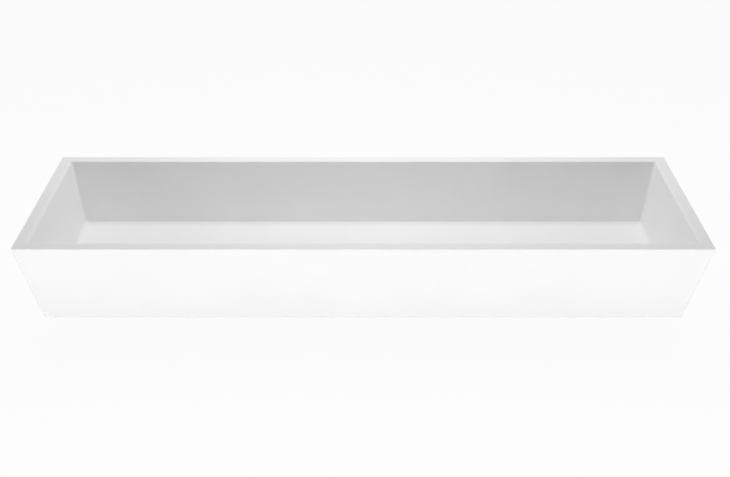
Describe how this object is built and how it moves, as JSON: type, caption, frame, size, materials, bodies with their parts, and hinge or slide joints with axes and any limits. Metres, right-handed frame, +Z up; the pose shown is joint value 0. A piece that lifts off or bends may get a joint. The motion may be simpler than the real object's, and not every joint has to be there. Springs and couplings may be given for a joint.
{
  "type": "trough sink",
  "caption": "Long rectangular trough sink with tapered walls, a flat narrow rim and a free-flowing grid waste with its tailpiece.",
  "frame": {"origin": "middle of the rim's top plane, on the axis of the waste", "axes": "+X along the trough to the right, -Y towards the front, +Z up out of the bowl"},
  "size_m": [1.22, 0.392, 0.24],
  "materials": {
    "cast_white": "matte white cast solid surface",
    "black_rubber": "moulded black rubber",
    "chrome_plate": "polished chrome plate on brass",
    "steel_screw": "turned stainless steel",
    "white_nylon": "plain natural nylon",
    "plain_brass": "machined plain brass"
  },
  "bodies": {
    "root": {"basin": "cast_white", "flange_seal": "black_rubber", "waste_body": "chrome_plate", "strainer_grid": "chrome_plate", "grid_screw": "steel_screw", "cone_washer": "black_rubber", "slip_washer": "white_nylon", "back_nut": "plain_brass", "tail_washer": "black_rubber", "tailpiece": "chrome_plate"}
  },
  "joints": []
}
